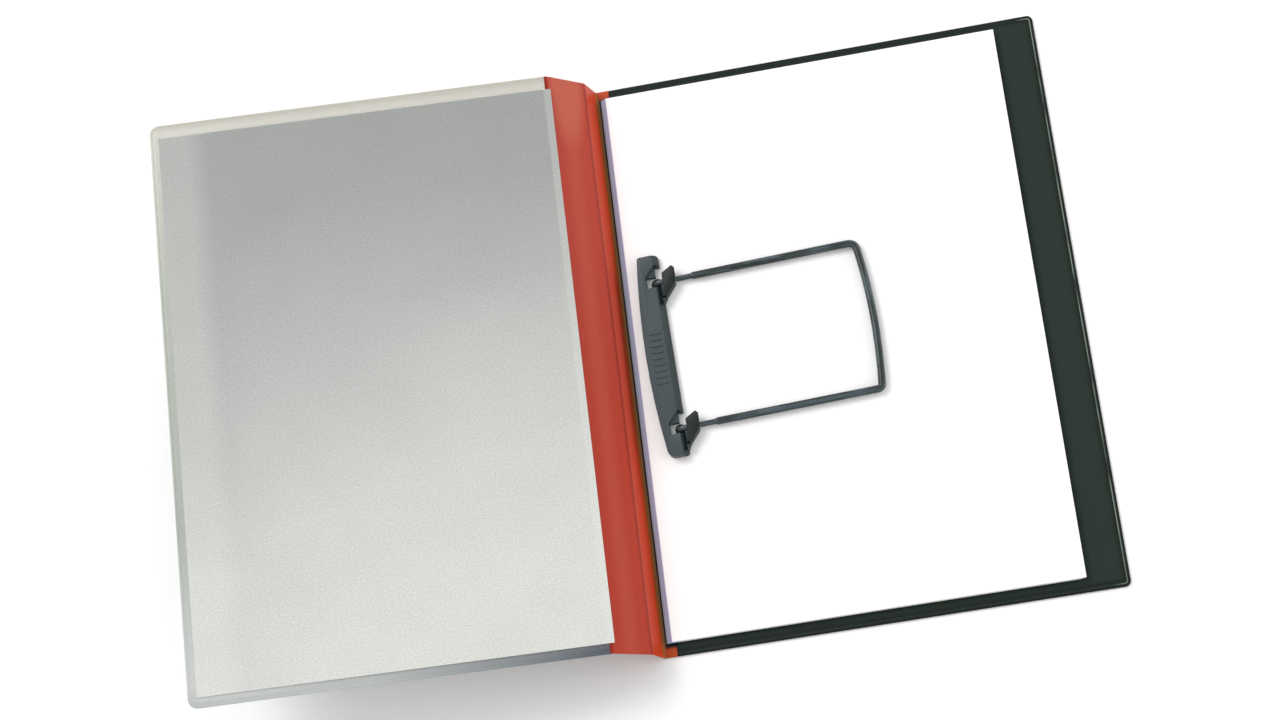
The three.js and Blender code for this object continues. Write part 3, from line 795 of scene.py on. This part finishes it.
top_corner = in_clip(reach, hole_spacing / 2)
low_corner = in_clip(reach, -hole_spacing / 2)
down = -clip_up
bowed = (top_corner + low_corner) / 2 + 2 * bow * clip_right
outer_round = 5 * MM
inner_round = 3 * MM
before_top = in_clip(reach - outer_round, hole_spacing / 2)
after_top = top_corner + down * outer_round
before_low = low_corner - down * inner_round
after_low = in_clip(reach - inner_round, -hole_spacing / 2)
path = np.concatenate([
    straight(in_clip(neck_start, hole_spacing / 2), before_top, 150),
    curve(before_top, top_corner, after_top, 16),
    curve(after_top, bowed, before_low, 70),
    curve(before_low, low_corner, after_low, 14),
    straight(after_low, in_clip(neck_start, -hole_spacing / 2), 150),
    in_clip(neck_start, -hole_spacing / 2)[None]])
out_along = (path - foot) @ clip_right
swell = smooth_step(out_along, neck_end - 0.3 * MM, neck_end + 0.9 * MM)
radius = neck_radius + (tube_radius - neck_radius) * swell
notch_place = in_clip(reach, -hole_spacing / 2 + 10 * MM)
notch = np.exp(-(np.linalg.norm(path - notch_place, axis=1) / (0.9 * MM)) ** 2)
radius = radius * (1 - 0.12 * notch)
hoop = tube("clip_hoop_tube", path, radius, hoop_plastic)
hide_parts("clip_hoop")
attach(hoop, "hoop")

# %% The two feet
bend_radius = 2.4 * MM
foot_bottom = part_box("hoop_bend_upper")[0][2]
for name, side in (("hoop_bend_upper", 1), ("hoop_bend_lower", -1)):
    along = side * hole_spacing / 2
    base_point = in_clip(0, along)
    base_point[2] = foot_bottom
    path = np.concatenate([
        straight(base_point, in_clip(0, along, -bend_radius), 8),
        curve(in_clip(0, along, -bend_radius), in_clip(0, along), in_clip(bend_radius, along), 16),
        straight(in_clip(bend_radius, along), in_clip(neck_start, along), 20),
        in_clip(neck_start + 0.05 * MM, along)[None]])
    bend = tube(name + "_tube", path, np.full(len(path), neck_radius), bend_plastic_painted_lighter, 24)
    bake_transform(bend)
    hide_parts(name)

# %% [markdown]
# ## Table and light
# A white table under a bright, even sky shows the colours as they are. One large soft lamp from the upper
# left gives the short shadows under the hoop. On the right, a small low panel is what the vinyl band
# mirrors near its top, and a wider weak lamp fills the shade under the raised cover.

# %% The table
table_mesh = bpy.data.meshes.new("table_top")
reach_out = 6.0
table_mesh.from_pydata([(-reach_out, -reach_out, 0), (reach_out, -reach_out, 0), (reach_out, reach_out, 0),
                        (-reach_out, reach_out, 0)], [], [(0, 1, 2, 3)])
table = bpy.data.objects.new("table_top", table_mesh)
bpy.context.scene.collection.objects.link(table)
table.location.z = -0.05 * MM
table_look = finish("table_finish", (253, 253, 253), 0.9, 300.0, 0.00001, cloud_scale=2.0, cloud=0.005,
                    specular=0.0)
table_mesh.materials.append(table_look)

# %% The light
world = bpy.data.worlds.new("even_sky")
bpy.context.scene.world = world
world.use_nodes = True
world.node_tree.nodes["Background"].inputs["Color"].default_value = (1.0, 1.0, 1.0, 1.0)
world.node_tree.nodes["Background"].inputs["Strength"].default_value = 0.78


def soft_lamp(name, place, target, size, power):
    """A square area lamp that faces its target."""
    lamp = bpy.data.lights.new(name, "AREA")
    lamp.shape = "SQUARE"
    lamp.size = size
    lamp.energy = power
    held = bpy.data.objects.new(name, lamp)
    bpy.context.scene.collection.objects.link(held)
    held.location = place
    held.rotation_euler = (Vector(target) - Vector(place)).to_track_quat("-Z", "Y").to_euler()


soft_lamp("key_upper_left", (-1.3, 1.1, 1.8), (0, 0, 0), 1.2, 28.0)
soft_lamp("panel_right", (1.5, 0.95, 0.25), (-0.13, 0.1, 0.03), 0.5, 5.0)
soft_lamp("fill_right", (1.5, -0.3, 0.45), (-0.12, 0.0, 0.02), 1.0, 6.5)

# %% [markdown]
# ## The camera
# It was fitted to the photograph: a focal length and an image centre in pixels of the photo, three turns
# in degrees, and the place of the back cover's lower corner at the spine, in millimetres, as the camera
# sees it.

# %% The camera of the photograph
image_width, image_height = 1280, 720
focal = 2673.5
middle_px = (740.0, 315.9)
turns = [math.radians(angle) for angle in (-17.327, -6.348, 7.724)]
corner_seen_mm = (-37.98, -173.37, -1351.15)


def turn_about(axis, angle):
    """The matrix of a turn about X, Y or Z."""
    return np.array(Matrix.Rotation(angle, 3, axis))


rows = turn_about("Z", turns[2]) @ turn_about("X", turns[0]) @ turn_about("Y", turns[1])
from_corner = -rows.T @ np.array(corner_seen_mm) * MM
corner = np.array([fold[0], -half_height, 0.0])
camera_data = bpy.data.cameras.new("photo_view")
camera = bpy.data.objects.new("photo_view", camera_data)
bpy.context.scene.collection.objects.link(camera)
camera_data.lens = focal / image_width * camera_data.sensor_width
camera_data.shift_x = (image_width / 2 - middle_px[0]) / image_width
camera_data.shift_y = (middle_px[1] - image_height / 2) / image_width
camera_data.clip_start = 0.05
camera_data.clip_end = 30.0
camera.matrix_world = Matrix.Translation(from_corner + corner) @ Matrix(rows.T.tolist()).to_4x4()
bpy.context.scene.camera = camera
bpy.context.scene.view_settings.view_transform = "Standard"
print("camera at", tuple(round(v, 4) for v in camera.matrix_world.translation))

# %% [markdown]
# The last cell brings the view layer up to date.

# %% Finish
bpy.context.view_layer.update()
